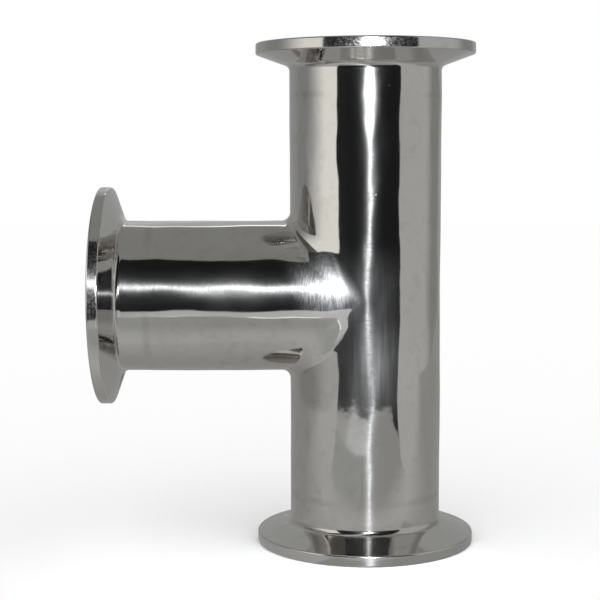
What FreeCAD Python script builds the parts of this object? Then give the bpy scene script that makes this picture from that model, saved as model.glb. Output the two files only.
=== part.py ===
import FreeCAD, Part
import math
import os
import Sketcher
from types import SimpleNamespace

# Equal clamp tee for sanitary tubing, polished stainless steel.
# A collar is pulled out of the side of a straight run of tube, a clamp ferrule is butt-welded to
# each of the three ends, and the welds are ground flush and polished: one piece of metal.
# Millimetres. The origin is where the two tube axes cross, +Z runs up the run, and the branch
# points along -X. The tee stands on the face of its lower ferrule.

NODE = "clamp_tee"

# Driving sizes: alias, value, what it is.
SIZES = [
    ("run_length", 116.0, "run, from face to face"),
    ("branch_reach", 61.5, "run axis to the branch's face"),
    ("tube_od", 35.0, "outside diameter of the run"),
    ("tube_wall", 1.5, "wall of the tube and the collar"),
    ("collar_undersize", 0.1, "how much smaller in diameter the pulled collar is than the run"),
    ("saddle_radius", 2.0, "blend outside, where the collar leaves the run"),
    ("flange_od", 50.5, "outside diameter of a ferrule's flange"),
    ("rim_band", 1.8, "straight band round a flange's rim, between its two rounded edges"),
    ("clamp_angle", 20.0, "slope of the flange's back, degrees"),
    ("neck_radius", 1.5, "blend between the sloped back and the tube"),
    ("rim_round", 0.4, "rounding of the rim's two edges"),
    ("groove_diameter", 43.5, "middle diameter of the gasket groove in each face"),
    ("groove_radius", 1.6, "half-round section of the gasket groove"),
    ("mouth_break", 0.2, "broken edge at the mouth of each bore"),
]

# Radii and distances that follow from the driving sizes.
RUN_RADIUS = "Sizes.tube_od / 2"
COLLAR_RADIUS = "(Sizes.tube_od - Sizes.collar_undersize) / 2"
RUN_BORE = "Sizes.tube_od / 2 - Sizes.tube_wall"
COLLAR_BORE = "(Sizes.tube_od - Sizes.collar_undersize) / 2 - Sizes.tube_wall"
FLANGE_RADIUS = "Sizes.flange_od / 2"
GROOVE_PITCH = "Sizes.groove_diameter / 2"
RUN_FACE = "Sizes.run_length / 2"
BRANCH_FACE = "Sizes.branch_reach"
INNER_SADDLE = "Sizes.saddle_radius + Sizes.tube_wall"

UP_THE_RUN = 0.0  # turn of a half-section drawn along the run, degrees
ALONG_THE_BRANCH = 90.0  # turn of a half-section drawn along the branch, degrees
SEAM_ON_TOP = 90.0  # turn of the branch's circles, so their seam keeps off the fine ends of the blend
SEAM_IN_WALL = -60.0  # turn of the bore circle of the run, so its seam lies where the wall is unbroken
NEAR = 0.01  # an edge counts as lying on a surface within this distance


def add_sheet(doc):
    """Put the driving sizes in a sheet, one alias to a row."""
    sheet = doc.addObject("Spreadsheet::Sheet", "Sizes")
    for row, (alias, value, meaning) in enumerate(SIZES, start=1):
        sheet.set(f"A{row}", meaning)
        sheet.set(f"B{row}", str(value))
        sheet.setAlias(f"B{row}", alias)
    doc.recompute()


def drawn_sizes():
    """Return the driving sizes with the radii and distances that the sketches start from."""
    size = SimpleNamespace(**{alias: value for alias, value, _ in SIZES})
    size.run_radius = size.tube_od / 2
    size.collar_radius = (size.tube_od - size.collar_undersize) / 2
    size.run_bore = size.run_radius - size.tube_wall
    size.collar_bore = size.collar_radius - size.tube_wall
    size.flange_radius = size.flange_od / 2
    size.groove_pitch = size.groove_diameter / 2
    size.run_face = size.run_length / 2
    size.branch_face = size.branch_reach
    return size


def origin_plane(body, role):
    """Return one of the body's own origin planes, such as XZ_Plane."""
    return next(item for item in body.Origin.OriginFeatures if item.Role == role)


def add_sketch(body, name, role, turn=0.0):
    """Start a sketch on an origin plane, turned about the plane's normal."""
    sketch = body.newObject("Sketcher::SketchObject", name)
    sketch.AttachmentSupport = [(origin_plane(body, role), "")]
    sketch.MapMode = "FlatFace"
    spin = FreeCAD.Rotation(FreeCAD.Vector(0, 0, 1), turn)
    sketch.AttachmentOffset = FreeCAD.Placement(FreeCAD.Vector(0, 0, 0), spin)
    return sketch


def bind(sketch, name, expression, kind, *reference):
    """Add a named constraint whose value follows the sheet."""
    index = sketch.addConstraint(Sketcher.Constraint(kind, *reference))
    sketch.renameConstraint(index, name)
    sketch.setExpression(f"Constraints.{name}", expression)


def add_disc(body, name, role, radius, expression, turn=0.0):
    """Draw a circle about the crossing of the axes, on one of the origin planes."""
    sketch = add_sketch(body, name, role, turn)
    centre = FreeCAD.Vector(0, 0, 0)
    circle = sketch.addGeometry(Part.Circle(centre, FreeCAD.Vector(0, 0, 1), radius), False)
    sketch.addConstraint(Sketcher.Constraint("Coincident", circle, 3, -1, 1))
    bind(sketch, "radius", expression, "Radius", circle, radius)
    return sketch


def add_pad(body, name, sketch, length, symmetric=False, reverse=False):
    """Pad a sketch, one way or both ways from its plane."""
    pad = body.newObject("PartDesign::Pad", name)
    pad.Profile = sketch
    pad.SideType = "Symmetric" if symmetric else "One side"
    pad.Reversed = reverse
    pad.setExpression("Length", length)
    return pad


def add_pocket(body, name, sketch, length, symmetric=False, reverse=False):
    """Cut a sketch through, one way or both ways from its plane."""
    pocket = body.newObject("PartDesign::Pocket", name)
    pocket.Profile = sketch
    pocket.SideType = "Symmetric" if symmetric else "One side"
    pocket.Reversed = reverse
    pocket.setExpression("Length", length)
    return pocket


def add_turned(body, kind, name, sketch):
    """Turn a half-section a full circle about the tube axis it was drawn beside."""
    turned = body.newObject(f"PartDesign::{kind}", name)
    turned.Profile = sketch
    turned.ReferenceAxis = (sketch, ["V_Axis"])
    turned.Angle = 360.0
    return turned


def add_mirror(body, name, original):
    """Repeat a feature below the plane of the branch."""
    mirror = body.newObject("PartDesign::Mirrored", name)
    mirror.Originals = [original]
    mirror.MirrorPlane = (origin_plane(body, "XY_Plane"), [""])
    body.Tip = mirror
    return mirror


def add_fillet(body, name, base, edges, radius):
    """Round the named edges of the feature before."""
    if not edges:
        raise RuntimeError(f"{name}: no edge to round")
    fillet = body.newObject("PartDesign::Fillet", name)
    fillet.Base = (base, edges)
    fillet.setExpression("Radius", radius)
    return fillet


def circles_of(feature, radii):
    """Name the feature's circular edges that have one of the radii."""
    names = []
    for number, edge in enumerate(feature.Shape.Edges, start=1):
        if not isinstance(edge.Curve, Part.Circle):
            continue
        if any(abs(edge.Curve.Radius - radius) < NEAR for radius in radii):
            names.append(f"Edge{number}")
    return names


def crease_of(feature, run_radius, branch_radius):
    """Name the edges where a cylinder round the run meets one round the branch."""
    names = []
    for number, edge in enumerate(feature.Shape.Edges, start=1):
        points = edge.discretize(9)
        on_run = all(abs(math.hypot(p.x, p.y) - run_radius) < NEAR for p in points)
        on_branch = all(abs(math.hypot(p.y, p.z) - branch_radius) < NEAR for p in points)
        if on_run and on_branch:
            names.append(f"Edge{number}")
    return names


def arc(across, along, radius, start, end):
    """Return an arc about a point, anticlockwise between two directions in degrees."""
    circle = Part.Circle(FreeCAD.Vector(across, along, 0), FreeCAD.Vector(0, 0, 1), radius)
    return Part.ArcOfCircle(circle, math.radians(start), math.radians(end))


def add_ferrule_section(body, name, turn, size, face, face_expression, tube, tube_expression):
    """Draw half of a ferrule blank: across is the radius, up is along its tube.

    From the tube it runs round the neck, up the sloped back, over the rounded rim, in across
    the face and down the axis. It ends level with the centre of the neck's arc.
    """
    tilt = size.clamp_angle
    lean = math.radians(tilt)
    rim_across = size.flange_radius - size.rim_round
    front_along = face - size.rim_round
    back_along = front_along - size.rim_band
    neck_across = tube + size.neck_radius
    back_end = FreeCAD.Vector(rim_across + size.rim_round * math.sin(lean),
                              back_along - size.rim_round * math.cos(lean), 0)
    slope_across = neck_across - size.neck_radius * math.sin(lean)
    slope_along = back_end.y - (back_end.x - slope_across) * math.tan(lean)
    neck_along = slope_along - size.neck_radius * math.cos(lean)

    sketch = add_sketch(body, name, "XZ_Plane", turn)

    def add_line(start, end):
        ends = FreeCAD.Vector(*start, 0), FreeCAD.Vector(*end, 0)
        return sketch.addGeometry(Part.LineSegment(*ends), False)

    def join(kind, first, first_end, second, second_end):
        sketch.addConstraint(Sketcher.Constraint(kind, first, first_end, second, second_end))

    foot = add_line((0, neck_along), (tube, neck_along))
    neck = sketch.addGeometry(arc(neck_across, neck_along, size.neck_radius, 90 + tilt, 180), False)
    back = add_line((slope_across, slope_along), (back_end.x, back_end.y))
    back_edge = sketch.addGeometry(arc(rim_across, back_along, size.rim_round, tilt - 90, 0), False)
    rim = add_line((size.flange_radius, back_along), (size.flange_radius, front_along))
    front_edge = sketch.addGeometry(arc(rim_across, front_along, size.rim_round, 0, 90), False)
    front = add_line((rim_across, face), (0, face))
    axis = add_line((0, face), (0, neck_along))

    join("Coincident", foot, 2, neck, 2)
    join("Tangent", neck, 1, back, 1)
    join("Tangent", back, 2, back_edge, 1)
    join("Tangent", back_edge, 2, rim, 1)
    join("Tangent", rim, 2, front_edge, 1)
    join("Tangent", front_edge, 2, front, 1)
    join("Coincident", front, 2, axis, 1)
    join("Coincident", axis, 2, foot, 1)
    join("Horizontal", neck, 2, neck, 3)
    sketch.addConstraint(Sketcher.Constraint("Horizontal", foot))
    sketch.addConstraint(Sketcher.Constraint("Vertical", rim))
    sketch.addConstraint(Sketcher.Constraint("Horizontal", front))
    sketch.addConstraint(Sketcher.Constraint("PointOnObject", axis, 1, -2))
    sketch.addConstraint(Sketcher.Constraint("PointOnObject", axis, 2, -2))
    sketch.addConstraint(Sketcher.Constraint("Equal", back_edge, front_edge))
    bind(sketch, "slope", "Sizes.clamp_angle", "Angle", back, lean)
    bind(sketch, "neck", "Sizes.neck_radius", "Radius", neck, size.neck_radius)
    bind(sketch, "edge", "Sizes.rim_round", "Radius", back_edge, size.rim_round)
    bind(sketch, "face", face_expression, "DistanceY", -1, 1, axis, 1, face)
    bind(sketch, "tube", tube_expression, "DistanceX", axis, 2, foot, 2, tube)
    bind(sketch, "flange", FLANGE_RADIUS, "DistanceX", axis, 1, rim, 2, size.flange_radius)
    bind(sketch, "band", "Sizes.rim_band", "DistanceY", rim, 1, rim, 2, size.rim_band)
    return sketch


def add_groove_section(body, name, turn, size, face, face_expression):
    """Draw the gasket groove's round section, centred on a face."""
    sketch = add_sketch(body, name, "XZ_Plane", turn)
    centre = FreeCAD.Vector(size.groove_pitch, face, 0)
    section = Part.Circle(centre, FreeCAD.Vector(0, 0, 1), size.groove_radius)
    circle = sketch.addGeometry(section, False)
    bind(sketch, "section", "Sizes.groove_radius", "Radius", circle, size.groove_radius)
    bind(sketch, "pitch", GROOVE_PITCH, "DistanceX", -1, 1, circle, 3, size.groove_pitch)
    bind(sketch, "face", face_expression, "DistanceY", -1, 1, circle, 3, face)
    return sketch


def build_blank(doc, body, size):
    """Build the outside of the tee, solid: run, collar, the saddle between them and ferrules."""
    run = add_disc(body, "RunSection", "XY_Plane", size.run_radius, RUN_RADIUS)
    add_pad(body, "Run", run, "Sizes.run_length", symmetric=True)
    collar = add_disc(body, "CollarSection", "YZ_Plane", size.collar_radius, COLLAR_RADIUS,
                      SEAM_ON_TOP)
    crossing = add_pad(body, "Collar", collar, BRANCH_FACE, reverse=True)
    doc.recompute()

    crease = crease_of(crossing, size.run_radius, size.collar_radius)
    add_fillet(body, "Saddle", crossing, crease, "Sizes.saddle_radius")

    section = add_ferrule_section(body, "RunFerruleSection", UP_THE_RUN, size,
                                  size.run_face, RUN_FACE, size.run_radius, RUN_RADIUS)
    upper = add_turned(body, "Revolution", "UpperFerrule", section)
    doc.recompute()
    add_mirror(body, "LowerFerrule", upper)
    section = add_ferrule_section(body, "BranchFerruleSection", ALONG_THE_BRANCH, size,
                                  size.branch_face, BRANCH_FACE,
                                  size.collar_radius, COLLAR_RADIUS)
    add_turned(body, "Revolution", "BranchFerrule", section)
    doc.recompute()


def cut_passages(doc, body, size):
    """Bore the run and the branch, blend where they cross, and cut the gasket grooves."""
    run = add_disc(body, "RunBoreSection", "XY_Plane", size.run_bore, RUN_BORE, SEAM_IN_WALL)
    add_pocket(body, "RunBore", run, "Sizes.run_length", symmetric=True)
    collar = add_disc(body, "BranchBoreSection", "YZ_Plane", size.collar_bore, COLLAR_BORE,
                      SEAM_ON_TOP)
    crossing = add_pocket(body, "BranchBore", collar, BRANCH_FACE)
    doc.recompute()

    crease = crease_of(crossing, size.run_bore, size.collar_bore)
    saddle = add_fillet(body, "InnerSaddle", crossing, crease, INNER_SADDLE)
    doc.recompute()
    mouths = body.newObject("PartDesign::Chamfer", "Mouths")
    mouths.Base = (saddle, circles_of(saddle, (size.run_bore, size.collar_bore)))
    mouths.setExpression("Size", "Sizes.mouth_break")

    section = add_groove_section(body, "RunGrooveSection", UP_THE_RUN, size,
                                 size.run_face, RUN_FACE)
    upper = add_turned(body, "Groove", "UpperGasketGroove", section)
    doc.recompute()
    add_mirror(body, "LowerGasketGroove", upper)
    section = add_groove_section(body, "BranchGrooveSection", ALONG_THE_BRANCH, size,
                                 size.branch_face, BRANCH_FACE)
    add_turned(body, "Groove", "BranchGasketGroove", section)
    doc.recompute()


def check_document(doc, body):
    """Stop if a feature failed, changed nothing, or left the body in pieces."""
    for item in doc.Objects:
        if "Invalid" in item.State or "Error" in item.State:
            raise RuntimeError(f"{item.Name} failed: {item.State}")
    for item in doc.Objects:
        if not hasattr(item, "BaseFeature") or item.BaseFeature is None:
            continue
        if abs(item.Shape.Volume - item.BaseFeature.Shape.Volume) < NEAR:
            raise RuntimeError(f"{item.Name} changed nothing")
    shape = body.Shape
    if shape.isNull() or not shape.isValid() or len(shape.Solids) != 1:
        raise RuntimeError(f"{body.Label} is not one sound solid")


def main():
    doc = FreeCAD.newDocument("ClampTee")
    add_sheet(doc)
    size = drawn_sizes()
    body = doc.addObject("PartDesign::Body", "ClampTee")
    body.Label = NODE
    body.Placement = FreeCAD.Placement()
    build_blank(doc, body, size)
    cut_passages(doc, body, size)
    check_document(doc, body)
    os.makedirs("parts", exist_ok=True)
    body.Shape.exportStep(f"parts/{NODE}.step")
    print(f"{NODE}: {body.Shape.Volume:.0f} cubic mm of metal, {len(body.Shape.Faces)} faces")


main()
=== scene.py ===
"""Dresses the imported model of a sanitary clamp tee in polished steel, on a pale floor.

Metres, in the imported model's frame: the origin is where the two tube axes cross, +Z runs up the
run, the branch points along -X, and the tee stands on the face of its lower ferrule.
"""

import logging
import math
from dataclasses import dataclass
from enum import Enum
from typing import Iterable, Union

import bpy
from mathutils import Matrix, Vector


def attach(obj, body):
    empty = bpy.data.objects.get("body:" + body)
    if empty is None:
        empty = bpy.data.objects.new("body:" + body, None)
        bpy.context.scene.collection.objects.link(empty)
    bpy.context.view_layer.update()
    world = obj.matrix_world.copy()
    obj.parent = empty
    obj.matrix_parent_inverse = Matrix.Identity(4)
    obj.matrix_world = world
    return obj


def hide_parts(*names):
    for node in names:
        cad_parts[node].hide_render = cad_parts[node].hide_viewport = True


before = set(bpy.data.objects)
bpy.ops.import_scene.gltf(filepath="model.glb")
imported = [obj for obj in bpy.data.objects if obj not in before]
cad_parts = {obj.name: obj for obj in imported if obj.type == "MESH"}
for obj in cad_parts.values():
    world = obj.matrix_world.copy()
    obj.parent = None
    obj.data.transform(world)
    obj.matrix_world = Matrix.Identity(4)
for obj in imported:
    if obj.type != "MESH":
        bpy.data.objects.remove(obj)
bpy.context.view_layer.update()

MM = 0.001
NODE = "clamp_tee"
BODY = "root"
FLOOR_LEVEL = -58.0  # mm, the face of the lower ferrule

Socket = bpy.types.NodeSocket
Number = Union[float, "Value"]
Point = tuple[float, float, float]
Spot = tuple[float, float]
Span = tuple[float, float]
Corners = tuple[Point, ...]
Triple = tuple["Value", "Value", "Value"]
log = logging.getLogger("clamp_tee")


class Graph:
    """Adds nodes to one shader or geometry tree."""

    def __init__(self, tree: bpy.types.NodeTree) -> None:
        """Keep the tree that the nodes go into."""
        self.tree = tree

    def node(self, kind: str, settings: dict | None = None,
             values: dict | None = None) -> bpy.types.Node:
        """Add a node.

        Args:
            kind: the node's type.
            settings: the node's own settings, set first.
            values: a number, colour, socket or Value for each of the named or numbered inputs.

        Returns:
            The new node.
        """
        made = self.tree.nodes.new(kind)
        for name, setting in (settings or {}).items():
            setattr(made, name, setting)
        for name, value in (values or {}).items():
            self.feed(made.inputs[name], value)
        return made

    def feed(self, socket: Socket, value: object) -> None:
        """Link or set one input.

        Args:
            socket: the input.
            value: the number, colour, socket or Value that it gets.
        """
        source = value.socket if isinstance(value, Value) else value
        if isinstance(source, Socket):
            self.tree.links.new(source, socket)
        else:
            socket.default_value = source

    def math(self, operation: str, *terms: Number) -> "Value":
        """Add a Math node and return its result."""
        made = self.node("ShaderNodeMath", {"operation": operation}, dict(enumerate(terms)))
        return Value(self, made.outputs[0])

    def smooth(self, value: "Value", low: float, high: float) -> "Value":
        """Rise smoothly from 0 at low to 1 at high."""
        made = self.node("ShaderNodeMapRange", {"interpolation_type": "SMOOTHSTEP"},
                         {"Value": value, "From Min": low, "From Max": high})
        return Value(self, made.outputs[0])

    def mix(self, amount: Number, first: Number, second: Number) -> "Value":
        """Blend two numbers."""
        return first + amount * (second - first)

    def mix_colours(self, amount: Number, first: object, second: object) -> Socket:
        """Blend two colours."""
        return self.node("ShaderNodeMix", {"data_type": "RGBA"},
                         {0: amount, 6: first, 7: second}).outputs[2]

    def mix_shaders(self, amount: Number, first: Socket, second: Socket) -> Socket:
        """Blend two shaders."""
        return self.node("ShaderNodeMixShader", None, {0: amount, 1: first, 2: second}).outputs[0]

    def xyz(self, x: Number, y: Number, z: Number) -> Socket:
        """Join three numbers into a vector."""
        return self.node("ShaderNodeCombineXYZ", None, {0: x, 1: y, 2: z}).outputs[0]

    def split(self, vector: Socket) -> Triple:
        """Part a vector into its three numbers."""
        made = self.node("ShaderNodeSeparateXYZ", None, {0: vector})
        return tuple(Value(self, socket) for socket in made.outputs)

    def steps(self, place: Triple, size: Point) -> Socket:
        """Measure a place in steps of the given size along each axis."""
        return self.xyz(*(part / step for part, step in zip(place, size)))

    def noise(self, place: Socket, scale: float, detail: float, seed: Number,
              roughness: float = 0.5) -> "Value":
        """Read a noise between 0 and 1 at a place; the seed picks another slice of it."""
        made = self.node("ShaderNodeTexNoise", {"noise_dimensions": "4D"},
                         {"Vector": place, "W": seed, "Scale": scale, "Detail": detail,
                          "Roughness": roughness})
        return Value(self, made.outputs[0])


@dataclass(frozen=True)
class Value:
    """A number in a node tree; Python's operators on it add Math nodes."""

    graph: Graph
    socket: Socket

    def __add__(self, other: Number) -> "Value":
        """Return self + other."""
        return self.graph.math("ADD", self, other)

    def __radd__(self, other: Number) -> "Value":
        """Return other + self."""
        return self.graph.math("ADD", other, self)

    def __sub__(self, other: Number) -> "Value":
        """Return self - other."""
        return self.graph.math("SUBTRACT", self, other)

    def __rsub__(self, other: Number) -> "Value":
        """Return other - self."""
        return self.graph.math("SUBTRACT", other, self)

    def __mul__(self, other: Number) -> "Value":
        """Return self * other."""
        return self.graph.math("MULTIPLY", self, other)

    def __rmul__(self, other: Number) -> "Value":
        """Return other * self."""
        return self.graph.math("MULTIPLY", other, self)

    def __truediv__(self, other: Number) -> "Value":
        """Return self / other."""
        return self.graph.math("DIVIDE", self, other)

    def __rtruediv__(self, other: Number) -> "Value":
        """Return other / self."""
        return self.graph.math("DIVIDE", other, self)

    def __pow__(self, other: Number) -> "Value":
        """Return self ** other."""
        return self.graph.math("POWER", self, other)

    def __rpow__(self, other: Number) -> "Value":
        """Return other ** self."""
        return self.graph.math("POWER", other, self)

    def __neg__(self) -> "Value":
        """Return -self."""
        return self.graph.math("MULTIPLY", self, -1.0)

    def __abs__(self) -> "Value":
        """Return the size of self."""
        return self.graph.math("ABSOLUTE", self)

    def sin(self) -> "Value":
        """Return the sine."""
        return self.graph.math("SINE", self)

    def cos(self) -> "Value":
        """Return the cosine."""
        return self.graph.math("COSINE", self)

    def root(self) -> "Value":
        """Return the square root, 0 below 0."""
        return self.graph.math("SQRT", self.at_least(0.0))

    def at_least(self, low: Number) -> "Value":
        """Return self or low, whichever is more."""
        return self.graph.math("MAXIMUM", self, low)

    def at_most(self, high: Number) -> "Value":
        """Return self or high, whichever is less."""
        return self.graph.math("MINIMUM", self, high)


def start_material(name: str) -> tuple[bpy.types.Material, Graph]:
    """Start a material.

    Args:
        name: its name.

    Returns:
        The material, which has no nodes yet, and the graph that adds them.
    """
    material = bpy.data.materials.new(name)
    material.use_nodes = True
    material.node_tree.nodes.clear()
    return material, Graph(material.node_tree)


def add_object(name: str, data: bpy.types.ID) -> bpy.types.Object:
    """Put something into the scene.

    Args:
        name: the object's name.
        data: its mesh, lamp or camera.

    Returns:
        The object, at the origin.
    """
    made = bpy.data.objects.new(name, data)
    bpy.context.scene.collection.objects.link(made)
    return made


@dataclass(frozen=True)
class Skin:
    """The metal's surface, as a finish reads it.

    Attributes:
        graph: the tree that reads it.
        place: the place on it as a vector, in metres.
        spot: the same place as three numbers, mm.
        seed: the finish's seed.
    """

    graph: Graph
    place: Socket
    spot: Triple
    seed: float


@dataclass(frozen=True)
class Layer:
    """A layer of noise in the finish.

    Attributes:
        shift: what is added to the finish's seed.
        detail: how many finer octaves it has.
        shows: the noise from which it begins to show, and from which it shows in full.
        roughness: how strong its finer octaves are.
        size: how long its marks are along each axis, mm; without it they go by scale.
        scale: how many marks there are in a metre, where there is no size.
    """

    shift: float
    detail: float = 2.0
    shows: Span = (0.0, 1.0)
    roughness: float = 0.5
    size: Point | None = None
    scale: float = 1.0

    def noise(self, skin: Skin) -> Value:
        """Return the noise as it is, between 0 and 1."""
        place = skin.place if self.size is None else skin.graph.steps(skin.spot, self.size)
        return skin.graph.noise(place, self.scale, self.detail, skin.seed + self.shift,
                                self.roughness)

    def shown(self, skin: Skin) -> Value:
        """Return how much of the layer shows, 0 to 1."""
        return skin.graph.smooth(self.noise(skin), *self.shows)


@dataclass(frozen=True)
class GroundPatches:
    """The coarser finish where the joint was ground after forming; mm.

    A span says from where to where something grows from nothing to full, or dies away.
    """

    lean: float = 0.35  # how far the fan's edge falls back for each mm up or down the run
    sides: Span = (12.0, 16.0)  # from the middle plane of the tee
    fan_begins: Span = (-1.0, 3.0)  # along the branch
    fan_grows: Span = (3.0, 6.5)
    fan_ends: Span = (6.0, 17.0)
    faint_fan: float = 0.12  # how much of the fan shows before it grows
    rubbing_begins: Span = (-14.0, -4.0)  # down the run
    rubbing_grows: Span = (2.0, 14.0)
    rubbing_ends: Span = (18.0, 30.0)
    faint_rubbing: float = 0.3  # how much of the rubbing shows before it grows

    def find(self, skin: Skin) -> tuple[Value, Value]:
        """Find where the coarser finish lies.

        Args:
            skin: the metal's surface.

        Returns:
            Two numbers, 0 to 1: a fan where the branch meets the run, and a rubbed stretch on the
            run below it.
        """
        graph = skin.graph
        x, y, z = skin.spot
        toward = -x - self.lean * abs(z)
        side = graph.smooth(abs(y), *self.sides)
        begun = (graph.smooth(toward, *self.fan_begins) * self.faint_fan
                 + graph.smooth(toward, *self.fan_grows) * (1.0 - self.faint_fan))
        fan = begun * (1.0 - graph.smooth(toward, *self.fan_ends)) * side
        rubbed = ((self.faint_rubbing * graph.smooth(-z, *self.rubbing_begins)
                   + (1.0 - self.faint_rubbing) * graph.smooth(-z, *self.rubbing_grows))
                  * (1.0 - graph.smooth(-z, *self.rubbing_ends))
                  * (1.0 - graph.smooth(toward, *self.fan_grows)))
        return fan, rubbed


@dataclass(frozen=True)
class PolishedSteel:
    """Stainless steel, polished by hand: a mirror crossed by fine lines round each tube.

    Sizes are in mm. A share is how much of a rougher shader lies over the mirror.
    """

    name: str = "polished_stainless"
    seed: float = 3.7
    colour: Point = (0.655, 0.635, 0.615)
    stain: Point = (0.53, 0.50, 0.46)

    mirror_roughness: float = 0.06
    patch_roughness: float = 0.04  # what the patches add to the mirror's
    rim_roughness: float = 0.035  # what the rims add to the mirror's
    line_roughness: float = 0.345
    ground_roughness: float = 0.37

    crossover: float = 5.0  # on each side of the joint's mitre, where run turns to branch
    tube_reach: float = 18.4  # from a tube's axis, past which the ferrule's back begins
    tube_fade: float = 1.0
    rim_reach: float = 24.8  # from a tube's axis, where the ferrule's rim begins
    rim_fade: float = 0.3
    ground: GroundPatches = GroundPatches()

    patches: Layer = Layer(2.0, 3.0, (0.45, 0.75), scale=55.0)
    patch_stain: float = 0.4
    mottle: Layer = Layer(9.0, 4.0, (0.50, 0.76), size=(2.4, 2.4, 2.4))
    mottle_stain: float = 0.4
    welds: Layer = Layer(4.0, 2.0, (0.38, 0.62), scale=160.0)
    weld_stain: float = 0.5
    weld_from_face: float = 12.0
    weld_band: Span = (0.2, 1.3)  # from the weld's middle, where its mark dies away
    pit_spacing: float = 4.5
    pit_radius: float = 0.25
    pit_core: float = 0.5  # share of a pit's radius that is full
    strokes: Layer = Layer(1.0, 3.0, (0.35, 0.68), 0.7, (1.6, 1.6, 0.30))  # last along a tube
    smears: Layer = Layer(6.0, size=(5.0, 5.0, 14.0))
    streaks: Layer = Layer(7.0, size=(0.5, 0.5, 12.0))
    grain: Layer = Layer(8.0, 1.0, (0.4, 0.65), size=(0.4, 0.4, 0.4))
    peel: Layer = Layer(5.0, scale=1.0 / (4.5 * MM))
    peel_height: float = 0.024

    line_share: float = 0.029
    line_even: float = 0.4  # parts of the line: even, by strokes, by smears and by grain
    line_strokes: float = 0.4
    line_smears: float = 0.5
    line_grain: float = 0.25
    line_more_on_branch: float = 0.15
    line_less_on_rubbed: float = 0.55
    line_on_back: float = 0.1  # on the ferrules' backs, against 1 on the tubes
    line_more_on_rim: float = 1.5
    run_turn: float = 0.25  # which way the line is long, as a share of a full turn
    branch_turn: float = 0.0
    fan_share: float = 0.13
    fan_even: float = 0.45  # parts of the fan: even and by strokes
    fan_strokes: float = 0.8
    rubbed_share: float = 0.05
    rubbed_even: float = 0.3  # parts of the rubbing: even and by streaks
    rubbed_streaks: float = 1.4
    rubbed_twice: Span = (1.0, 6.0)  # to the right, where the rubbing grows twice as strong
    pit_share: float = 0.06
    rim_share: float = 0.055

    def build(self) -> bpy.types.Material:
        """Make the material.

        Returns:
            The material, which reads Object coordinates.
        """
        material, graph = start_material(self.name)
        place = graph.node("ShaderNodeTexCoord").outputs["Object"]
        x, y, z = (part / MM for part in graph.split(place))
        skin = Skin(graph, place, (x, y, z), self.seed)
        along_branch = Skin(graph, place, (y, z, x), self.seed)
        on_branch = graph.smooth(-x - abs(z), -self.crossover, self.crossover)
        out = graph.mix(on_branch, x * x + y * y, y * y + z * z).root()
        rim = graph.smooth(out, self.rim_reach, self.rim_reach + self.rim_fade)
        tube = 1.0 - graph.smooth(out, self.tube_reach, self.tube_reach + self.tube_fade)
        patches = self.patches.shown(skin)
        pits = self.pits(skin)
        strokes = graph.mix(on_branch, self.strokes.shown(skin), self.strokes.shown(along_branch))
        grain = self.grain.shown(skin)
        fan, rubbed = self.ground.find(skin)

        colour = self.stained(skin, patches, pits)
        relief = self.relief(skin)
        mirror = self.metal(graph, colour, self.mirror_roughness + patches * self.patch_roughness
                            + rim * self.rim_roughness, relief)
        lines = [self.metal(graph, colour, self.line_roughness, None, 1.0, turn)
                 for turn in (self.run_turn, self.branch_turn)]
        coarse = self.metal(graph, colour, self.ground_roughness, relief)

        line_share = (self.line_share
                      * (self.line_even + self.line_strokes * strokes
                         + self.line_smears * self.smears.noise(skin) + self.line_grain * grain)
                      * (1.0 + self.line_more_on_branch * on_branch)
                      * (1.0 - self.line_less_on_rubbed * rubbed)
                      * (self.line_on_back
                         + (1.0 - self.line_on_back) * (tube + rim * self.line_more_on_rim)))
        coarse_share = (fan * self.fan_share * (self.fan_even + self.fan_strokes * strokes)
                        + rubbed * self.rubbed_share
                        * (self.rubbed_even + self.rubbed_streaks * self.streaks.noise(skin))
                        * (1.0 + graph.smooth(x, *self.rubbed_twice))
                        + pits * self.pit_share + rim * grain * self.rim_share)
        polished = graph.mix_shaders(line_share, mirror, graph.mix_shaders(on_branch, *lines))
        graph.node("ShaderNodeOutputMaterial", None,
                   {"Surface": graph.mix_shaders(coarse_share, polished, coarse)})
        return material

    def stained(self, skin: Skin, patches: Value, pits: Value) -> Socket:
        """Colour the steel.

        Args:
            skin: the metal's surface.
            patches: where its cloudy patches lie, 0 to 1.
            pits: where its pits lie, 0 to 1.

        Returns:
            The steel's colour, darkened by patches, welds, mottling and pits.
        """
        mottle = self.mottle.shown(skin)
        stained = (patches * self.patch_stain + self.weld_marks(skin) * self.weld_stain
                   + mottle * self.mottle_stain + pits * mottle)
        return skin.graph.mix_colours(stained.at_most(1.0), (*self.colour, 1.0),
                                      (*self.stain, 1.0))

    def relief(self, skin: Skin) -> Socket:
        """Return a normal with the faint unevenness that polishing leaves."""
        height = self.peel.noise(skin) * self.peel_height
        return skin.graph.node("ShaderNodeBump", None, {"Strength": 1.0, "Distance": MM,
                                                        "Height": height}).outputs[0]

    def pits(self, skin: Skin) -> Value:
        """Find the tiny pits that the polishing left.

        Args:
            skin: the metal's surface.

        Returns:
            Where they lie, 0 to 1.
        """
        place = skin.graph.steps(skin.spot, (self.pit_spacing,) * 3)
        cells = skin.graph.node("ShaderNodeTexVoronoi", None, {"Vector": place, "Scale": 1.0})
        off = Value(skin.graph, cells.outputs[0])
        radius = self.pit_radius / self.pit_spacing
        return 1.0 - skin.graph.smooth(off, radius * self.pit_core, radius)

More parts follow.
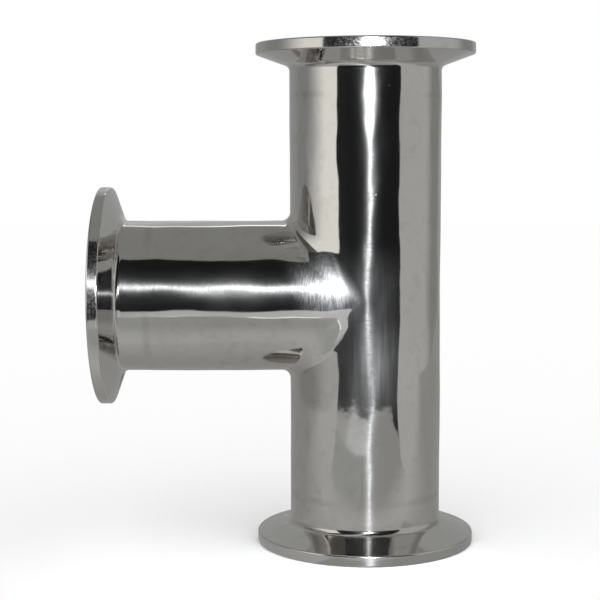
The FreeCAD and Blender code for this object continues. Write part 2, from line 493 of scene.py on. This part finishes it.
    def weld_marks(self, skin: Skin) -> Value:
        """Find the ground-off weld of each ferrule.

        Args:
            skin: the metal's surface.

        Returns:
            Where it still shows, 0 to 1.
        """
        x, _, z = skin.spot
        run_weld = PolishedTee.run_face - self.weld_from_face
        branch_weld = PolishedTee.branch_face - self.weld_from_face
        off = abs(abs(z) - run_weld).at_most(abs(x + branch_weld))
        return (1.0 - skin.graph.smooth(off, *self.weld_band)) * self.welds.shown(skin)

    @staticmethod
    def metal(graph: Graph, colour: Socket, roughness: Number, relief: Socket | None,
              anisotropic: float = 0.0, turn: float = 0.0) -> Socket:
        """Add a metal shader.

        Args:
            graph: the tree it goes into.
            colour: the metal's colour.
            roughness: its roughness.
            relief: its bumped normal, if any.
            anisotropic: how much longer its highlight is one way than the other.
            turn: which way the highlight is long, as a share of a full turn.

        Returns:
            The shader's socket.
        """
        values = {"Base Color": colour, "Metallic": 1.0, "Roughness": roughness,
                  "Anisotropic": anisotropic, "Anisotropic Rotation": turn}
        if relief is not None:
            values["Normal"] = relief
        return graph.node("ShaderNodeBsdfPrincipled", None, values).outputs[0]


@dataclass(frozen=True)
class FerruleSection:
    """Half-section of a tube end with its clamp ferrule, from outer foot to inner foot; mm."""

    wall: float = 1.5
    flange_radius: float = 25.245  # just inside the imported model's facets
    rim_band: float = 1.8
    rim_round: float = 0.4
    slope: float = 20.0  # degrees
    neck_radius: float = 1.5
    groove_pitch: float = 21.75
    groove_radius: float = 1.6
    groove_start: float = 4.3  # degrees below the face, where the half-round meets its broken edge
    edge_break: float = 0.12
    edge_fall: float = 0.3  # share of the broken edge that is rounded away at the groove
    edge_margin: float = 0.36  # flat face kept beside the groove
    mouth_break: float = 0.2
    mouth_margin: float = 0.15  # flat face kept beside the mouth
    tube_steps: int = 46
    neck_steps: int = 9
    back_steps: int = 7
    rim_steps: int = 6
    band_steps: int = 3
    groove_steps: int = 18
    bore_steps: int = 30
    tube_hold: float = 0.006  # how close the extra rows lie to the ends, as a share of the length
    back_hold: float = 0.03
    band_hold: float = 0.08

    @staticmethod
    def arc(across: float, along: float, radius: float, start: float, end: float,
            steps: int) -> list[Spot]:
        """Return points on an arc, from one direction to another in degrees."""
        turns = (math.radians(start + (end - start) * i / steps) for i in range(steps + 1))
        return [(across + radius * math.cos(a), along + radius * math.sin(a)) for a in turns]

    @staticmethod
    def spread(steps: int, hold: float) -> list[float]:
        """Return shares from 0 to 1, with one more close to each end."""
        even = [i / steps for i in range(steps + 1)]
        return [0.0, hold, *even[1:-1], 1.0 - hold, 1.0]

    def points(self, tube: float, face: float) -> list[Point]:
        """Return the section's points.

        Args:
            tube: outside radius of the tube.
            face: distance of the ferrule's face from the crossing of the axes.

        Returns:
            For each point its radius, the share of the foot's own height that it follows, and its
            height beyond that share.
        """
        bore = tube - self.wall
        lean = math.radians(self.slope)
        rim_across = self.flange_radius - self.rim_round
        front = face - self.rim_round
        back = front - self.rim_band
        neck_across = tube + self.neck_radius
        slope_across = neck_across - self.neck_radius * math.sin(lean)
        back_end = (rim_across + self.rim_round * math.sin(lean),
                    back - self.rim_round * math.cos(lean))
        slope_along = back_end[1] - (back_end[0] - slope_across) * math.tan(lean)
        neck = slope_along - self.neck_radius * math.cos(lean)

        section = self.arc(neck_across, neck, self.neck_radius, 180, 90 + self.slope,
                           self.neck_steps)
        section += [(slope_across + t * (back_end[0] - slope_across),
                     slope_along + t * (back_end[1] - slope_along))
                    for t in self.spread(self.back_steps, self.back_hold)[1:-1]]
        section += self.arc(rim_across, back, self.rim_round, self.slope - 90, 0, self.rim_steps)
        section += [(self.flange_radius, back + t * self.rim_band)
                    for t in self.spread(self.band_steps, self.band_hold)[1:-1]]
        section += self.arc(rim_across, front, self.rim_round, 0, 90, self.rim_steps)
        section += self.face_points(rim_across, bore, face)
        tube_part = [(tube, 1.0 - t, t * neck)
                     for t in self.spread(self.tube_steps, self.tube_hold)[:-1]]
        end_part = [(across, 0.0, along) for across, along in section]
        mouth = face - self.mouth_break
        bore_part = [(bore, t, (1.0 - t) * mouth)
                     for t in self.spread(self.bore_steps, self.tube_hold)]
        return tube_part + end_part + bore_part

    def face_points(self, rim_across: float, bore: float, face: float) -> list[Spot]:
        """Return the face, with its gasket groove.

        Args:
            rim_across: distance of the rim's rounding from the axis.
            bore: inside radius of the tube.
            face: distance of the face from the crossing of the axes.

        Returns:
            Its points from the rim in to the mouth, each across and along.
        """
        outer = self.groove_pitch + self.groove_radius
        inner = self.groove_pitch - self.groove_radius
        gap = self.edge_break
        fall = gap * self.edge_fall
        mouth = bore + self.mouth_break
        land = [(rim_across - gap, face), ((rim_across + outer) / 2, face),
                (outer + self.edge_margin, face), (outer + gap, face), (outer + fall, face - fall)]
        groove = self.arc(self.groove_pitch, face, self.groove_radius, -self.groove_start,
                          self.groove_start - 180, self.groove_steps)
        inside = [(inner - fall, face - fall), (inner - gap, face),
                  (inner - self.edge_margin, face), ((inner + bore) / 2, face),
                  (mouth + self.mouth_margin, face), (mouth, face)]
        return land + groove + inside


@dataclass
class PolishedTee:
    """The tee's whole metal: two run arms, the branch and the saddle between them; mm."""

    name: str = "clamp_tee_polished"
    run_radius: float = 17.5
    branch_radius: float = 17.45
    run_face: float = 58.0
    branch_face: float = 61.5
    crotch_blend: float = 2.0
    side_blend: float = 18.0
    section: FerruleSection = FerruleSection()
    columns: int = 160  # round the branch; half of them go to the front of each run arm
    back_columns: int = 96  # round the rest of the run
    blend_rows: int = 18
    join: float = 0.002  # points closer than this are made one
    sharp_angle: float = 32.0  # degrees
    wave: float = 0.22  # depth of the fine waves of hand polishing
    wave_length: float = 22.0
    wave_width: float = 9.0
    sway: float = 0.45  # depth of the slow ones
    seed: float = 31.9

    INPUTS = {"Section": "Geometry", "Section Points": "Int", "Run Radius": "Float",
              "Branch Radius": "Float", "Wall": "Float", "Crotch Blend": "Float",
              "Side Blend": "Float", "Columns": "Int", "Back Columns": "Int",
              "Blend Rows": "Int", "Wave": "Float", "Wave Length": "Float",
              "Wave Width": "Float", "Sway": "Float", "Seed": "Float", "Material": "Material"}

    def draw_section(self) -> bpy.types.Object:
        """Draw the half-sections of the run and the branch.

        Returns:
            An object whose points hold them, in metres.
        """
        points = self.section.points(self.run_radius, self.run_face)
        points += self.section.points(self.branch_radius, self.branch_face)
        mesh = bpy.data.meshes.new("tee_section")
        mesh.from_pydata([(r * MM, follow, h * MM) for r, follow, h in points], [], [])
        return add_object("tee_section", mesh)

    def build_tree(self) -> bpy.types.NodeTree:
        """Build the tree that wraps the sections round the two tubes.

        Returns:
            A geometry tree whose inputs are INPUTS.
        """
        tree = bpy.data.node_groups.new("wrap_tee", "GeometryNodeTree")
        for name, kind in self.INPUTS.items():
            tree.interface.new_socket(name, in_out="INPUT", socket_type=f"NodeSocket{kind}")
        tree.interface.new_socket("Tee", in_out="OUTPUT", socket_type="NodeSocketGeometry")
        graph = Graph(tree)
        given = graph.node("NodeGroupInput").outputs
        wrap = TeeWrap(graph, {name: given[name] for name in self.INPUTS})
        joined = graph.node("GeometryNodeJoinGeometry")
        for part in (wrap.run_arm(1.0), wrap.run_arm(-1.0), wrap.branch_arm(),
                     wrap.saddle(0.0, False), wrap.saddle(wrap.wall, True)):
            tree.links.new(part, joined.inputs[0])
        closed = graph.node("GeometryNodeMergeByDistance", None,
                            {"Geometry": joined.outputs[0], "Distance": self.join * MM})
        waved = wrap.wave(closed.outputs[0])
        real = graph.node("GeometryNodeRealizeInstances", None, {0: waved})
        dressed = graph.node("GeometryNodeSetMaterial", None,
                             {"Geometry": real.outputs[0], "Material": given["Material"]})
        graph.node("NodeGroupOutput", None, {0: dressed.outputs[0]})
        return tree

    def build(self, material: bpy.types.Material) -> bpy.types.Object:
        """Build the piece.

        Args:
            material: its finish.

        Returns:
            A plain mesh object at the origin.
        """
        drawn = self.draw_section()
        tree = self.build_tree()
        modifier = drawn.modifiers.new("wrap", "NODES")
        modifier.node_group = tree
        sizes = {"Section Points": len(drawn.data.vertices) // 2,
                 "Run Radius": self.run_radius * MM, "Branch Radius": self.branch_radius * MM,
                 "Wall": self.section.wall * MM, "Crotch Blend": self.crotch_blend * MM,
                 "Side Blend": self.side_blend * MM, "Columns": self.columns,
                 "Back Columns": self.back_columns, "Blend Rows": self.blend_rows,
                 "Wave": self.wave * MM, "Wave Length": self.wave_length * MM,
                 "Wave Width": self.wave_width * MM, "Sway": self.sway * MM, "Seed": self.seed,
                 "Material": material}
        for item in tree.interface.items_tree:
            if item.in_out == "INPUT" and item.name in sizes:
                modifier[item.identifier] = sizes[item.name]
        graph = bpy.context.evaluated_depsgraph_get()
        mesh = bpy.data.meshes.new_from_object(drawn.evaluated_get(graph), depsgraph=graph)
        bpy.data.objects.remove(drawn)
        mesh.name = self.name
        mesh.set_sharp_from_angle(angle=math.radians(self.sharp_angle))
        return add_object(self.name, mesh)


class TeeWrap:
    """Nodes that place the grids of the tee's arms and blends."""

    CROWD = 0.31  # how evenly the columns at the back of the run are spread, 1 is even
    SIDE_POWER = 3.0  # how late the blend widens on its way round from crotch to side
    WAVE_DETAIL = 2.0  # finer octaves on each wave
    SWAY_SPREAD = 2.4  # how much longer the slow waves are than the fine ones
    SWAY_SHIFT = 7.0  # what the slow waves add to the seed
    BRANCH_SHIFT = 3.0  # what the waves on the branch add to it
    CROSSOVER = 0.004  # m on each side of the joint's mitre, where run turns to branch
    RUN_WAVES_END = 0.051  # m from the crossing, short of the ferrules
    BRANCH_WAVES_END = 0.0545
    WAVES_FADE = 0.006  # m
    SKIN = 0.2  # share of the wall that counts as its outside

    def __init__(self, graph: Graph, given: dict[str, Socket]) -> None:
        """Keep the tree and its inputs, and name what several parts need.

        Args:
            graph: the tree.
            given: its inputs by name.
        """
        self.graph = graph
        self.section = given["Section"]
        self.sizes = {name: Value(graph, socket) for name, socket in given.items()}
        self.run_radius = self.sizes["Run Radius"]
        self.branch_radius = self.sizes["Branch Radius"]
        self.wall = self.sizes["Wall"]
        self.side_blend = self.sizes["Side Blend"]
        self.columns = self.sizes["Columns"]
        self.points = self.sizes["Section Points"]

    def grid(self, columns: Number, rows: Number) -> tuple[Socket, Value, Value]:
        """Start a grid.

        Args:
            columns: how many steps it has round the tube.
            rows: how many points it has along the section.

        Returns:
            The grid's geometry, and the column and the row of each of its points.
        """
        made = self.graph.node("GeometryNodeMeshGrid", None,
                               {"Vertices X": columns + 1.0, "Vertices Y": rows})
        index = Value(self.graph, self.graph.node("GeometryNodeInputIndex").outputs[0])
        column = self.graph.math("FLOOR", (index + 0.5) / rows)
        return made.outputs[0], column, index - column * rows

    def place(self, grid: Socket, spot: Socket, flip: bool) -> Socket:
        """Put a grid in place.

        Args:
            grid: the grid's geometry.
            spot: where each of its points goes.
            flip: whether its faces are turned over.

        Returns:
            The placed geometry.
        """
        moved = self.graph.node("GeometryNodeSetPosition", None,
                                {"Geometry": grid, "Position": spot}).outputs[0]
        if not flip:
            return moved
        return self.graph.node("GeometryNodeFlipFaces", None, {0: moved}).outputs[0]

    def section_at(self, row: Value, foot: Value) -> tuple[Value, Value]:
        """Read the section.

        Args:
            row: number of the section's point.
            foot: how far the arm's foot is from the crossing of the axes in that column.

        Returns:
            Radius and distance along the tube.
        """
        position = self.graph.node("GeometryNodeInputPosition").outputs[0]
        sampled = self.graph.node("GeometryNodeSampleIndex", {"data_type": "FLOAT_VECTOR"},
                                  {"Geometry": self.section, "Value": position,
                                   "Index": row})
        radius, follow, height = self.graph.split(sampled.outputs[0])
        return radius, height + follow * foot

    def blend_at(self, turn: Value) -> Value:
        """Return the outer blend's radius at one turn round the branch, widest at the sides."""
        sine = turn.sin()
        return self.graph.mix((sine * sine) ** self.SIDE_POWER, self.sizes["Crotch Blend"],
                              self.side_blend)

    def run_arm(self, side: float) -> Socket:
        """Wrap the run's section round its axis, to one side of the branch.

        Args:
            side: 1 for the arm up +Z, -1 for the one down -Z.

        Returns:
            The arm's geometry: its front columns end on the blend, the others level with the
            branch's axis.
        """
        half = self.columns / 2.0
        behind = self.sizes["Back Columns"]
        grid, column, row = self.grid(half + behind, self.points)
        on_blend = self.graph.math("LESS_THAN", column, half + 0.5)
        turn = (column / self.columns) * (2 * math.pi) - math.pi / 2
        blend = self.blend_at(turn)
        branch_centre = self.branch_radius + blend
        ahead = self.graph.math("ARCSINE", turn.sin() * branch_centre / (self.run_radius + blend))
        widest = self.graph.math("ARCSINE", (self.branch_radius + self.side_blend)
                                 / (self.run_radius + self.side_blend))
        share = (column - half) / behind
        eased = share * self.CROWD + (1.0 - (share * math.pi).cos()) * ((1 - self.CROWD) / 2)
        back = widest + (2 * math.pi - widest * 2.0) * eased
        azimuth = self.graph.mix(on_blend, back, ahead)
        foot = on_blend * (branch_centre * turn.cos()).at_least(0.0)
        radius, along = self.section_at(row, foot)
        spot = self.graph.xyz(-(radius * azimuth.cos()), -(radius * azimuth.sin()), along * side)
        return self.place(grid, spot, side < 0)

    def branch_arm(self) -> Socket:
        """Wrap the branch's section round -X.

        Returns:
            The arm's geometry, which ends on the blend.
        """
        grid, column, row = self.grid(self.columns, self.points)
        turn = (column / self.columns) * (2 * math.pi)
        radius, along = self.section_at(row + self.points, self.blend_reach(turn))
        spot = self.graph.xyz(-along, -(radius * turn.sin()), radius * turn.cos())
        return self.place(grid, spot, True)

    def blend_reach(self, turn: Value) -> Value:
        """Find the centre of the blend.

        Args:
            turn: the turn round the branch.

        Returns:
            How far along the branch it lies.
        """
        blend = self.blend_at(turn)
        run_centre = self.run_radius + blend
        side = (self.branch_radius + blend) * turn.sin()
        return (run_centre * run_centre - side * side).root()

    def saddle(self, deeper: Number, flip: bool) -> Socket:
        """Sweep the blend's arc round the crossing of the tubes, between the three arms.

        Args:
            deeper: how far the skin lies inside the outer one.
            flip: whether its faces are turned over.

        Returns:
            The skin's geometry.
        """
        rows = self.sizes["Blend Rows"]
        grid, column, row = self.grid(self.columns, rows + 1.0)
        turn = (column / self.columns) * (2 * math.pi)
        share = row / rows
        blend = self.blend_at(turn)
        radius = blend + deeper
        run_centre = self.run_radius + blend
        branch_centre = self.branch_radius + blend
        reach = self.blend_reach(turn)
        sine, cosine = turn.sin(), turn.cos()
        side = branch_centre * sine
        width = self.graph.math("ARCCOSINE", side * sine / run_centre)
        from_branch = ((1.0 - share) * width).sin() / width.sin() * radius
        from_run = (share * width).sin() / width.sin() * radius
        spot = self.graph.xyz(
            -reach + from_run * reach / run_centre,
            -side + from_branch * sine + from_run * side / run_centre,
            branch_centre * cosine - from_branch * cosine)
        return self.place(grid, spot, flip)

    def wave_field(self, spread: float, shift: float) -> Value:
        """Return waves from -1 to 1, longer along each tube than round it.

        Args:
            spread: how many times longer than the tree's wave length and width they are.
            shift: what is added to the seed.

        Returns:
            The waves at each point.
        """
        graph = self.graph
        x, y, z = graph.split(graph.node("GeometryNodeInputPosition").outputs[0])
        length = self.sizes["Wave Length"] * spread
        width = self.sizes["Wave Width"] * spread
        seed = self.sizes["Seed"] + shift
        along_run = graph.xyz(x / width, y / width, z / length)
        along_branch = graph.xyz(x / length, y / width, z / width)
        on_run = graph.noise(along_run, 1.0, self.WAVE_DETAIL, seed)
        on_branch = graph.noise(along_branch, 1.0, self.WAVE_DETAIL, seed + self.BRANCH_SHIFT)
        share = graph.smooth(-x - abs(z), -self.CROSSOVER, self.CROSSOVER)
        return (graph.mix(share, on_run, on_branch) - 0.5) * 2.0

    def wave(self, geometry: Socket) -> Socket:
        """Press the slight waves of hand polishing into the outside of the tubes.

        Args:
            geometry: the closed tee.

        Returns:
            The tee with waves, smoothly shaded.
        """
        graph = self.graph
        x, y, z = graph.split(graph.node("GeometryNodeInputPosition").outputs[0])
        off_run = (x * x + y * y).root()
        off_branch = (y * y + z * z).root()
        beside_branch = graph.math("LESS_THAN", x, 0.0)
        off_tube = graph.mix(beside_branch, off_run, off_run.at_most(off_branch))
        outside = graph.math("GREATER_THAN", off_tube, self.run_radius - self.wall * self.SKIN)
        off_end = ((self.RUN_WAVES_END - abs(z)) / self.WAVES_FADE).at_most(
            (self.BRANCH_WAVES_END + x) / self.WAVES_FADE)
        free = off_end.at_least(0.0).at_most(1.0)
        fine = self.wave_field(1.0, 0.0) * self.sizes["Wave"]
        slow = self.wave_field(self.SWAY_SPREAD, self.SWAY_SHIFT) * self.sizes["Sway"]
        depth = (fine + slow) * free * outside
        normal = graph.node("GeometryNodeInputNormal").outputs[0]
        offset = graph.node("ShaderNodeVectorMath", {"operation": "SCALE"},
                            {0: normal, "Scale": depth}).outputs[0]
        moved = graph.node("GeometryNodeSetPosition", None,
                           {"Geometry": geometry, "Offset": offset}).outputs[0]
        return graph.node("GeometryNodeSetShadeSmooth", None, {"Geometry": moved}).outputs[0]


class Shade(Enum):
    """How bright a reflection card looks, as a grey or warm grey."""

    BLACK = (0.008, 0.0085, 0.0095)
    BROWN = (0.10, 0.096, 0.088)
    SHADOW = (0.17, 0.17, 0.165)
    DARK = (0.27, 0.275, 0.27)
    DIM = (0.33, 0.335, 0.33)
    MIDDLE = (0.37, 0.38, 0.375)
    GREY = (0.44, 0.45, 0.445)
    TABLE = (0.49, 0.50, 0.495)
    LIGHT = (0.60, 0.62, 0.62)
    BRIGHT = (1.0, 1.0, 0.95)
    GLEAM = (1.8, 1.85, 1.8)


class Axis(Enum):
    """An axis of the frame."""

    X = 0
    Y = 1


@dataclass(frozen=True)
class Fade:
    """Another shade that a card turns to along one axis, between two places in mm."""

    axis: Axis
    start: float
    end: float
    shade: Shade


def level(left: float, front: float, right: float, back: float, height: float) -> Corners:
    """Return the corners of a card that lies flat."""
    return ((left, front, height), (right, front, height), (right, back, height),
            (left, back, height))


def upright(start: Spot, end: Spot, low: float, high: float) -> Corners:
    """Return the corners of a card that stands on the line from start to end."""
    return (*start, low), (*end, low), (*end, high), (*start, high)


def tilted(left: float, right: float, foot: Spot, top: Spot) -> Corners:
    """Return the corners of a card that leans; foot and top are places in y and z."""
    return (left, *foot), (right, *foot), (right, *top), (left, *top)


@dataclass(frozen=True)
class Card:
    """A flat card that only the polished metal sees; mm.

    Attributes:
        name: the card's object.
        corners: its corners in order.
        shade: how bright it looks.
        fade: the shade that it turns to along one axis, if any.
        one_sided: whether it can't be seen from behind.
    """

    name: str
    corners: Corners
    shade: Shade
    fade: Fade | None = None
    one_sided: bool = False

    def build(self) -> bpy.types.Object:
        """Make the card, out of the picture and off the floor's light.

        Returns:
            The card's object.
        """
        mesh = bpy.data.meshes.new(self.name)
        mesh.from_pydata([tuple(c * MM for c in corner) for corner in self.corners], [],
                         [tuple(range(len(self.corners)))])
        material, graph = start_material(self.name)
        colour: object = (*self.shade.value, 1.0)
        if self.fade is not None:
            place = graph.split(graph.node("ShaderNodeTexCoord").outputs["Object"])
            along = place[self.fade.axis.value] / MM
            share = graph.smooth(along, self.fade.start, self.fade.end)
            colour = graph.mix_colours(share, colour, (*self.fade.shade.value, 1.0))
        seen = graph.node("ShaderNodeEmission", None, {"Color": colour, "Strength": 1.0}).outputs[0]
        if self.one_sided:
            behind = graph.node("ShaderNodeNewGeometry").outputs["Backfacing"]
            clear = graph.node("ShaderNodeBsdfTransparent").outputs[0]
            seen = graph.mix_shaders(behind, seen, clear)
        graph.node("ShaderNodeOutputMaterial", None, {"Surface": seen})
        mesh.materials.append(material)
        card = add_object(self.name, mesh)
        card.visible_camera = False
        card.visible_diffuse = False
        card.visible_shadow = False
        card.visible_transmission = False
        return card


@dataclass
class Studio:
    """The pale floor, the soft light all round, the cards and the lamp by the camera; mm."""

    floor_size: float = 3000.0
    floor_colour: Point = (0.99, 0.99, 0.99)
    lamp_place: Point = (28.0, -345.0, 79.0)
    lamp_colour: Point = (0.90, 0.95, 1.0)
    lamp_size: float = 18.0
    lamp_power: float = 5.0  # watts
    flag_foot: tuple[Spot, ...] = ((-135, -147), (-72, -184), (-58, -202), (-15, -202),
                                   (80, -175), (118, -150), (120, -102))
    flag_tops: tuple[float, ...] = (300, 300, 300, 420, 420, 420)
    # where the table's painted shade, between the screen and the tee, gives way to the lighter
    # table beyond, in x and y
    table_step: tuple[Spot, ...] = ((-104, -116), (-40, -124), (20, -122), (90, -78))
    table_seam: Spot = (-40, -202)  # between left and right beyond the step
    table_fold: Spot = (-12, -122.5)  # between left and right before the step
    table_near: tuple[Spot, ...] = ((-70, -30), (-12, -30), (60, -30))  # where it ends by the tee
    table_lift: float = 0.2  # above the floor
    cards: tuple[Card, ...] = (
        # The table card turns darker near and behind the tee: a painted shadow of the tee.
        Card("table_card", level(-420, -420, 420, 420, -57.9), Shade.TABLE,
             Fade(Axis.Y, -50, 20, Shade.DIM)),
        # Painted shadow of the tee: the table darker round its foot.
        Card("table_painted_shadow_at_foot", ((-12, -46, -57.8), (36, -38, -57.8), (36, 36, -57.8),
                               (-12, 36, -57.8)), Shade.DIM),
        # Painted shadow: the darker table behind the tee.
        Card("table_painted_shadow_behind", level(-52, 150, 42, 330, -57.8), Shade.SHADOW),
        # Painted highlights: glowing strips for the table's edge, which draw the thin bright line
        # along the bottom of the branch.
        Card("table_edge_painted_highlight", tilted(-34, -9, (-127, -57.6), (-111, -51.8)), Shade.GLEAM,
             one_sided=True),
        Card("table_far_edge_painted_highlight", tilted(-57, -46, (-127, -57.6), (-117, -54.0)), Shade.BRIGHT,
             one_sided=True),
        Card("left_skirt", upright((-195, -330), (-195, 60), -58, -20), Shade.GREY,
             Fade(Axis.Y, -120, 0, Shade.DARK)),
        Card("left_wall", upright((-195, -330), (-195, 60), -20, 185), Shade.BRIGHT,
             Fade(Axis.Y, -120, 30, Shade.DARK)),
        Card("left_upper_wall", upright((-195, -330), (-195, 60), 185, 420), Shade.BROWN),
        Card("left_far_wall", upright((-195, 60), (-195, 420), -58, 420), Shade.DARK,
             Fade(Axis.Y, 60, 180, Shade.DIM)),
        Card("right_wall", upright((320, -420), (320, 420), -58, 420), Shade.TABLE,
             Fade(Axis.Y, 40, 180, Shade.DARK)),
        Card("ceiling", level(-420, -420, 420, 420, 420), Shade.DARK),
        Card("back_wall", upright((-420, 420), (420, 420), -58, 420), Shade.MIDDLE),
        Card("back_light", upright((-122, 419), (-10, 419), 85, 345), Shade.TABLE),
        Card("back_tube_light", upright((-135, 418), (0, 418), 350, 410), Shade.BRIGHT,
             Fade(Axis.X, -115, -35, Shade.GLEAM)),
    )

    def build(self) -> None:
        """Build the floor, the world, the cards and the lamp."""
        self.build_floor()
        self.build_world()
        for card in (*self.flag_panels(), *self.table_panels(), *self.cards):
            card.build()
        self.build_lamp()
        bpy.context.scene.view_settings.view_transform = "Standard"

    def flag_panels(self) -> list[Card]:
        """Return the dark folding screen by the camera."""
        sides = zip(self.flag_foot, self.flag_foot[1:], self.flag_tops)
        return [Card(f"front_flag_{index}", upright(near, far, FLOOR_LEVEL, high), Shade.BLACK)
                for index, (near, far, high) in enumerate(sides)]

    def table_panels(self) -> list[Card]:
        """Lay the table between the screen and the tee.

        Returns:
            Its four tones, each a card: painted shade before the step, next to the tee, and a
                lighter table beyond it.
        """
        foot, step, seam, fold = self.flag_foot, self.table_step, self.table_seam, self.table_fold
        left, middle, right = self.table_near
        paler = Fade(Axis.Y, -80, -38, Shade.TABLE)
        tones = (
            ("table_beyond_left", (*foot[:3], seam, *reversed(step[:2])),
             Shade.GREY, Fade(Axis.X, -85, -55, Shade.LIGHT)),
            ("table_beyond_right", (seam, *foot[3:], *reversed(step[1:])),
             Shade.LIGHT, Fade(Axis.X, -15, 25, Shade.DIM)),
            # Painted shade on the table between the screen and the tee.
            ("table_painted_shade_before_left", (*step[:2], fold, middle, left), Shade.MIDDLE, paler),
            ("table_painted_shade_before_right", (fold, *step[2:], right, middle), Shade.DIM, paler))
        height = FLOOR_LEVEL + self.table_lift
        return [Card(name, tuple((*corner, height) for corner in outline), shade, fade)
                for name, outline, shade, fade in tones]

    def build_floor(self) -> None:
        """Lay the pale floor under the tee."""
        half = self.floor_size * MM / 2
        mesh = bpy.data.meshes.new("floor")
        mesh.from_pydata(level(-half, -half, half, half, FLOOR_LEVEL * MM), [], [(0, 1, 2, 3)])
        material, graph = start_material("pale_floor")
        paint = graph.node("ShaderNodeBsdfDiffuse", None, {"Color": (*self.floor_colour, 1.0)})
        graph.node("ShaderNodeOutputMaterial", None, {"Surface": paint.outputs[0]})
        mesh.materials.append(material)
        floor = add_object("floor", mesh)

    @staticmethod
    def build_world() -> None:
        """Surround the scene with plain white light."""
        world = bpy.data.worlds.new("white_tent")
        world.use_nodes = True
        world.node_tree.nodes.clear()
        graph = Graph(world.node_tree)
        light = graph.node("ShaderNodeBackground", None,
                           {"Color": (1.0, 1.0, 1.0, 1.0), "Strength": 1.0})
        graph.node("ShaderNodeOutputWorld", None, {"Surface": light.outputs[0]})
        bpy.context.scene.world = world

    def build_lamp(self) -> None:
        """Hang the small lamp by the camera, which draws the bright line down each tube."""
        data = bpy.data.lights.new("lamp_by_camera", "AREA")
        data.shape = "DISK"
        data.size = self.lamp_size * MM
        data.energy = self.lamp_power
        data.color = self.lamp_colour
        data.cycles.use_multiple_importance_sampling = False
        lamp = add_object("lamp_by_camera", data)
        place = Vector(self.lamp_place) * MM
        lamp.matrix_world = Matrix.Translation(place) @ (-place).to_track_quat(
            "-Z", "Y").to_matrix().to_4x4()
        lamp.visible_camera = False
        lamp.visible_diffuse = False


@dataclass(frozen=True)
class Viewpoint:
    """The photograph's camera; mm and degrees."""

    place: Point = (-10.05, -342.0, 33.9)
    yaw: float = 0.862
    pitch: float = -5.852
    roll: float = 0.178
    lens: float = 88.254
    sensor: float = 36.0
    nearest: float = 10.0
    farthest: float = 20000.0

    def build(self) -> None:
        """Make the camera and use it."""
        data = bpy.data.cameras.new("camera")
        data.lens = self.lens
        data.sensor_width = self.sensor
        data.clip_start = self.nearest * MM
        data.clip_end = self.farthest * MM
        camera = add_object("camera", data)
        aim = (Matrix.Rotation(math.radians(self.yaw), 4, "Z")
               @ Matrix.Rotation(math.radians(self.pitch), 4, "X")
               @ Matrix.Rotation(math.radians(self.roll), 4, "Y"))
        raised = Matrix.Rotation(math.radians(90.0), 4, "X")
        camera.matrix_world = Matrix.Translation(Vector(self.place) * MM) @ aim @ raised
        bpy.context.scene.camera = camera


def main() -> None:
    """Build the tee's finish, the studio and the camera, in that order."""
    logging.basicConfig(level=logging.INFO, format="%(message)s")
    steel = PolishedSteel().build()
    tee = PolishedTee().build(steel)
    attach(tee, BODY)
    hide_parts(NODE)
    log.info("%s: %d faces", tee.name, len(tee.data.polygons))
    Studio().build()
    Viewpoint().build()
    log.info("studio and camera: ready")


if __name__ == "__main__":
    main()
